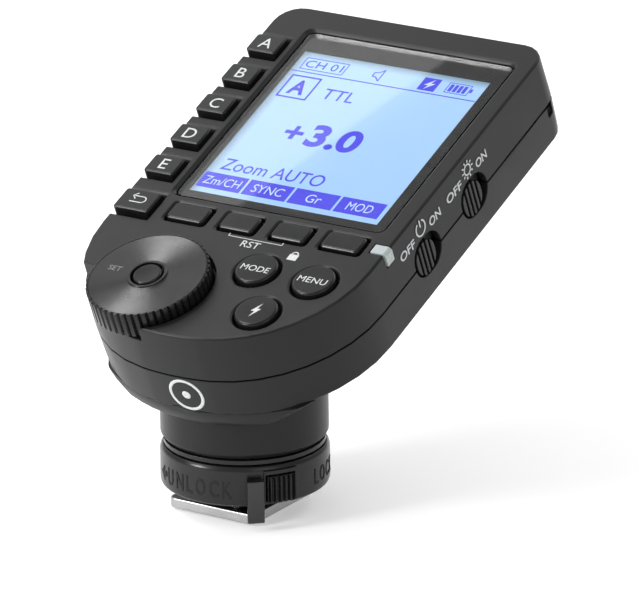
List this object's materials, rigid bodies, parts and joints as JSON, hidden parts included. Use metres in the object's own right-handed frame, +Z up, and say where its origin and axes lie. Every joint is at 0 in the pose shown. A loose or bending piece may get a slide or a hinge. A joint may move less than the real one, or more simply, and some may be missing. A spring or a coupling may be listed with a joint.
{
  "type": "wireless flash trigger",
  "caption": "Handheld radio flash trigger: tilted display head with keys and dial, round neck, lock ring and metal hot-shoe foot.",
  "frame": {"origin": "underside of the hot-shoe foot, on the axis of the neck and the lock ring", "axes": "+Z up out of the foot, +Y away from the user towards the raised end of the display head, +X to the user's right"},
  "size_m": [0.0582, 0.0925, 0.0745],
  "materials": {
    "housing_plastic": "fine satin texture",
    "key_plastic": "smooth satin",
    "gloss_black": "polished",
    "window_glass": "clear, glossy",
    "lcd_blue": "smooth",
    "white_plastic": "smooth",
    "board_green": "solder mask",
    "silicone": "matt",
    "steel": "fine brushed",
    "gold_contact": "plated",
    "cell_wrap": "printed sleeve",
    "red_lens": "dark red, polished"
  },
  "bodies": {
    "trigger_body": {"upper_housing": "housing_plastic", "lower_housing": "housing_plastic", "shoe_base": "housing_plastic", "power_switch_body": "gloss_black", "assist_switch_body": "gloss_black", "sync_jack": "gloss_black", "contact_insulator": "gloss_black", "display_window": "window_glass", "lcd_panel": "lcd_blue", "lcd_frame": "white_plastic", "status_light_pipe": "white_plastic", "main_board": "board_green", "key_membrane": "silicone", "rotary_encoder": "steel", "usb_port": "steel", "battery_contact_near": "steel", "battery_contact_far_1": "steel", "battery_contact_far_2": "steel", "battery_door_hinge_pin": "steel", "housing_screw_1": "steel", "housing_screw_2": "steel", "housing_screw_3": "steel", "housing_screw_4": "steel", "shoe_foot": "steel", "shoe_screw_1": "steel", "shoe_screw_2": "steel", "shoe_screw_3": "steel", "shoe_screw_4": "steel", "lock_pin_spring": "steel", "battery_cell_1": "cell_wrap", "battery_cell_2": "cell_wrap", "focus_assist_lens": "red_lens"},
    "dial": {"select_dial": "key_plastic", "encoder_shaft": "steel"},
    "set_button": {"set_button": "key_plastic"},
    "key_a": {"key_a": "key_plastic"},
    "key_b": {"key_b": "key_plastic"},
    "key_c": {"key_c": "key_plastic"},
    "key_d": {"key_d": "key_plastic"},
    "key_e": {"key_e": "key_plastic"},
    "key_return": {"key_return": "key_plastic"},
    "soft_key_1": {"soft_key_1": "key_plastic"},
    "soft_key_2": {"soft_key_2": "key_plastic"},
    "soft_key_3": {"soft_key_3": "key_plastic"},
    "soft_key_4": {"soft_key_4": "key_plastic"},
    "mode_key": {"mode_key": "key_plastic"},
    "menu_key": {"menu_key": "key_plastic"},
    "test_key": {"test_key": "key_plastic"},
    "power_switch": {"power_switch_knob": "key_plastic"},
    "assist_switch": {"assist_switch_knob": "key_plastic"},
    "lock_ring": {"lock_ring": "housing_plastic", "lock_lever": "gloss_black"},
    "ring_release": {"ring_release_button": "key_plastic"},
    "lock_pin": {"lock_pin": "steel"},
    "battery_door": {"battery_door": "housing_plastic"},
    "contact_centre": {"contact_centre": "gold_contact"},
    "contact_1": {"contact_1": "gold_contact"},
    "contact_2": {"contact_2": "gold_contact"},
    "contact_3": {"contact_3": "gold_contact"},
    "contact_4": {"contact_4": "gold_contact"}
  },
  "joints": [
    {"name": "dial_spin", "type": "hinge", "parent": "trigger_body", "child": "dial", "pos_m": [-0.00957, -0.01488, 0.04323], "axis": [0, -0.3907, 0.9205], "continuous": true},
    {"name": "set_button_press", "type": "slide", "parent": "trigger_body", "child": "set_button", "axis": [0, 0.3907, -0.9205], "range_m": [0, 0.0004], "stiffness_N_per_m": 400, "springref_m": -0.0005},
    {"name": "key_a_press", "type": "slide", "parent": "trigger_body", "child": "key_a", "axis": [0, 0.3907, -0.9205], "range_m": [0, 0.0005], "stiffness_N_per_m": 400, "springref_m": -0.0005},
    {"name": "key_b_press", "type": "slide", "parent": "trigger_body", "child": "key_b", "axis": [0, 0.3907, -0.9205], "range_m": [0, 0.0005], "stiffness_N_per_m": 400, "springref_m": -0.0005},
    {"name": "key_c_press", "type": "slide", "parent": "trigger_body", "child": "key_c", "axis": [0, 0.3907, -0.9205], "range_m": [0, 0.0005], "stiffness_N_per_m": 400, "springref_m": -0.0005},
    {"name": "key_d_press", "type": "slide", "parent": "trigger_body", "child": "key_d", "axis": [0, 0.3907, -0.9205], "range_m": [0, 0.0005], "stiffness_N_per_m": 400, "springref_m": -0.0005},
    {"name": "key_e_press", "type": "slide", "parent": "trigger_body", "child": "key_e", "axis": [0, 0.3907, -0.9205], "range_m": [0, 0.0005], "stiffness_N_per_m": 400, "springref_m": -0.0005},
    {"name": "key_return_press", "type": "slide", "parent": "trigger_body", "child": "key_return", "axis": [0, 0.3907, -0.9205], "range_m": [0, 0.0005], "stiffness_N_per_m": 400, "springref_m": -0.0005},
    {"name": "soft_key_1_press", "type": "slide", "parent": "trigger_body", "child": "soft_key_1", "axis": [0, 0.3907, -0.9205], "range_m": [0, 0.0005], "stiffness_N_per_m": 400, "springref_m": -0.0005},
    {"name": "soft_key_2_press", "type": "slide", "parent": "trigger_body", "child": "soft_key_2", "axis": [0, 0.3907, -0.9205], "range_m": [0, 0.0005], "stiffness_N_per_m": 400, "springref_m": -0.0005},
    {"name": "soft_key_3_press", "type": "slide", "parent": "trigger_body", "child": "soft_key_3", "axis": [0, 0.3907, -0.9205], "range_m": [0, 0.0005], "stiffness_N_per_m": 400, "springref_m": -0.0005},
    {"name": "soft_key_4_press", "type": "slide", "parent": "trigger_body", "child": "soft_key_4", "axis": [0, 0.3907, -0.9205], "range_m": [0, 0.0005], "stiffness_N_per_m": 400, "springref_m": -0.0005},
    {"name": "mode_key_press", "type": "slide", "parent": "trigger_body", "child": "mode_key", "axis": [0, 0.3907, -0.9205], "range_m": [0, 0.0005], "stiffness_N_per_m": 400, "springref_m": -0.0005},
    {"name": "menu_key_press", "type": "slide", "parent": "trigger_body", "child": "menu_key", "axis": [0, 0.3907, -0.9205], "range_m": [0, 0.0005], "stiffness_N_per_m": 400, "springref_m": -0.0005},
    {"name": "test_key_press", "type": "slide", "parent": "trigger_body", "child": "test_key", "axis": [0, 0.3907, -0.9205], "range_m": [0, 0.0005], "stiffness_N_per_m": 400, "springref_m": -0.0005},
    {"name": "power_switch_slide", "type": "slide", "parent": "trigger_body", "child": "power_switch", "axis": [0, 0.9205, 0.3907], "range_m": [0, 0.0018]},
    {"name": "assist_switch_slide", "type": "slide", "parent": "trigger_body", "child": "assist_switch", "axis": [0, 0.9205, 0.3907], "range_m": [0, 0.0018]},
    {"name": "lock_ring_turn", "type": "hinge", "parent": "trigger_body", "child": "lock_ring", "pos_m": [0, 0, 0.0075], "axis": [0, 0, 1], "range_deg": [0, 45]},
    {"name": "ring_release_press", "type": "slide", "parent": "lock_ring", "child": "ring_release", "axis": [-0.8471, 0.5314, 0], "range_m": [0, 0.0008], "stiffness_N_per_m": 300, "springref_m": -0.0005},
    {"name": "lock_pin_drop", "type": "slide", "parent": "trigger_body", "child": "lock_pin", "axis": [0, 0, -1], "range_m": [0, 0.0018], "deforming": ["lock_pin_spring"]},
    {"name": "battery_door_hinge", "type": "hinge", "parent": "trigger_body", "child": "battery_door", "pos_m": [0, 0.0645, 0.05509], "axis": [1, 0, 0], "range_deg": [0, 100]},
    {"name": "contact_centre_press", "type": "slide", "parent": "trigger_body", "child": "contact_centre", "axis": [0, 0, 1], "range_m": [0, 0.00035], "stiffness_N_per_m": 200, "springref_m": -0.0005},
    {"name": "contact_1_press", "type": "slide", "parent": "trigger_body", "child": "contact_1", "axis": [0, 0, 1], "range_m": [0, 0.00035], "stiffness_N_per_m": 200, "springref_m": -0.0005},
    {"name": "contact_2_press", "type": "slide", "parent": "trigger_body", "child": "contact_2", "axis": [0, 0, 1], "range_m": [0, 0.00035], "stiffness_N_per_m": 200, "springref_m": -0.0005},
    {"name": "contact_3_press", "type": "slide", "parent": "trigger_body", "child": "contact_3", "axis": [0, 0, 1], "range_m": [0, 0.00035], "stiffness_N_per_m": 200, "springref_m": -0.0005},
    {"name": "contact_4_press", "type": "slide", "parent": "trigger_body", "child": "contact_4", "axis": [0, 0, 1], "range_m": [0, 0.00035], "stiffness_N_per_m": 200, "springref_m": -0.0005}
  ],
  "couplings": [
    {"joint": "lock_ring_turn", "follows": "lock_pin_drop", "rad_per_m": 436.33}
  ]
}
